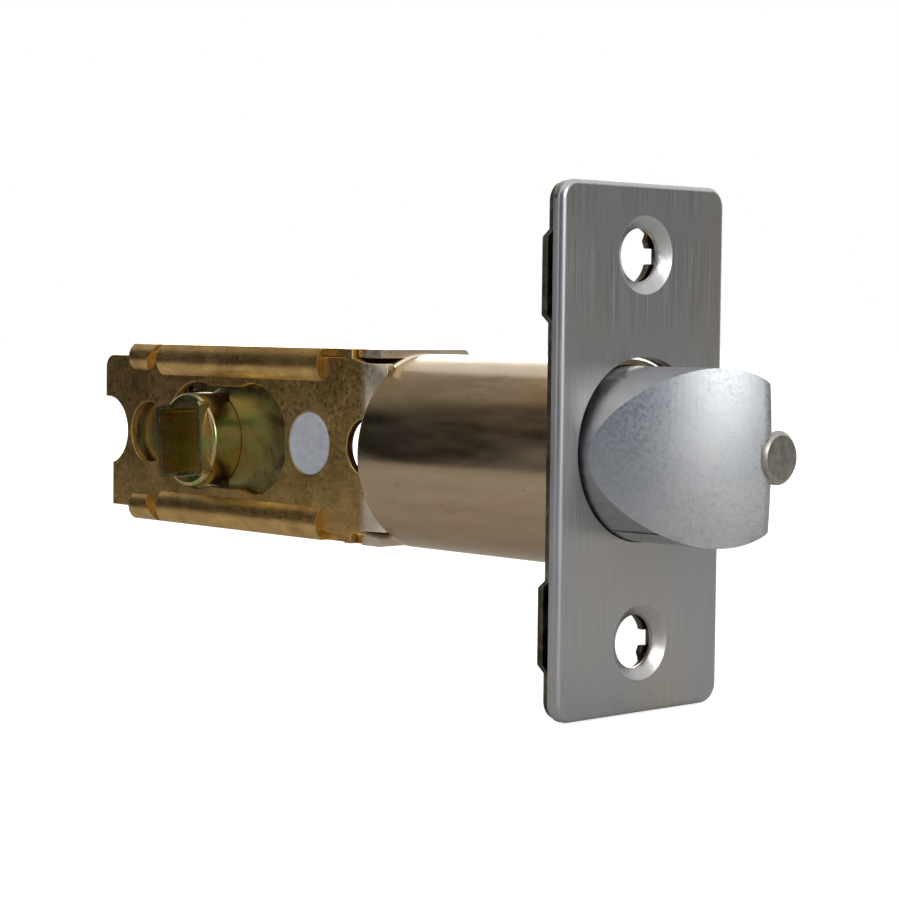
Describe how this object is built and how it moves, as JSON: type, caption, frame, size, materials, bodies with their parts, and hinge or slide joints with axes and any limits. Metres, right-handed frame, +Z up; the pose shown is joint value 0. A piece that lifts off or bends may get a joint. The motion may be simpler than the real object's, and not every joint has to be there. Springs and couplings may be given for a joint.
{
  "type": "tubular door latch",
  "caption": "Tubular latch with a faceplate, ramped bolt and deadlatch plunger, a round barrel and a sliding hub in a flat case for two backsets.",
  "frame": {"origin": "middle of the faceplate's front face, on the bolt's axis", "axes": "+X out of the door edge along the bolt, +Z up along the faceplate, -Y the side with the nylon plug"},
  "size_m": [0.1055, 0.0254, 0.0572],
  "materials": {
    "faceplate": "satin vertical brushing",
    "backing_plate": "mottled plating",
    "barrel": "yellow zinc plating",
    "bolt": "satin casting",
    "pins": "ground",
    "plunger": "turned",
    "springs": "drawn wire",
    "inner_plates": "yellow zinc plating",
    "carriage": "yellow zinc plating",
    "guide": "as cast",
    "hub": "iridescent plating",
    "case": "yellow zinc plating",
    "nylon": "moulded"
  },
  "bodies": {
    "case": {"faceplate": "faceplate", "backing_plate": "backing_plate", "barrel_tube": "barrel", "barrel_divider": "inner_plates", "stem_guide": "guide", "lever_pin": "pins", "lever_spring": "springs", "bolt_spring": "springs", "plunger_spring": "springs", "case_near_plate": "case", "case_far_shell": "case", "nylon_plug": "nylon"},
    "carriage": {"hub_carriage": "carriage", "backset_detent": "springs", "hub_spring": "springs"},
    "hub": {"hub": "hub"},
    "bolt": {"latch_bolt": "bolt", "stem_pin": "pins", "drawbar": "inner_plates"},
    "plunger": {"deadlatch_plunger": "plunger"},
    "lever": {"deadlock_lever": "inner_plates"}
  },
  "joints": [
    {"name": "backset_slide", "type": "slide", "parent": "case", "child": "carriage", "axis": [1, 0, 0], "range_m": [0, 0.01]},
    {"name": "hub_turn", "type": "hinge", "parent": "carriage", "child": "hub", "pos_m": [-0.07, 0, -0.00175], "axis": [0, -1, 0], "range_deg": [0, 100]},
    {"name": "bolt_slide", "type": "slide", "parent": "case", "child": "bolt", "axis": [-1, 0, 0], "range_m": [0, 0.01226], "stiffness_N_per_m": 250, "springref_m": -0.01, "deforming": ["bolt_spring"]},
    {"name": "plunger_slide", "type": "slide", "parent": "case", "child": "plunger", "axis": [-1, 0, 0], "range_m": [0, 0.0122], "stiffness_N_per_m": 120, "springref_m": -0.004, "deforming": ["plunger_spring"]},
    {"name": "lever_drop", "type": "hinge", "parent": "case", "child": "lever", "pos_m": [-0.0295, 0, 0.00565], "axis": [0, 1, 0], "range_deg": [0, 12]}
  ],
  "couplings": [
    {"joint": "hub_turn", "follows": "bolt_slide", "rad_per_m": 142.35},
    {"joint": "lever_drop", "follows": "plunger_slide", "rad_per_m": 17.157}
  ]
}
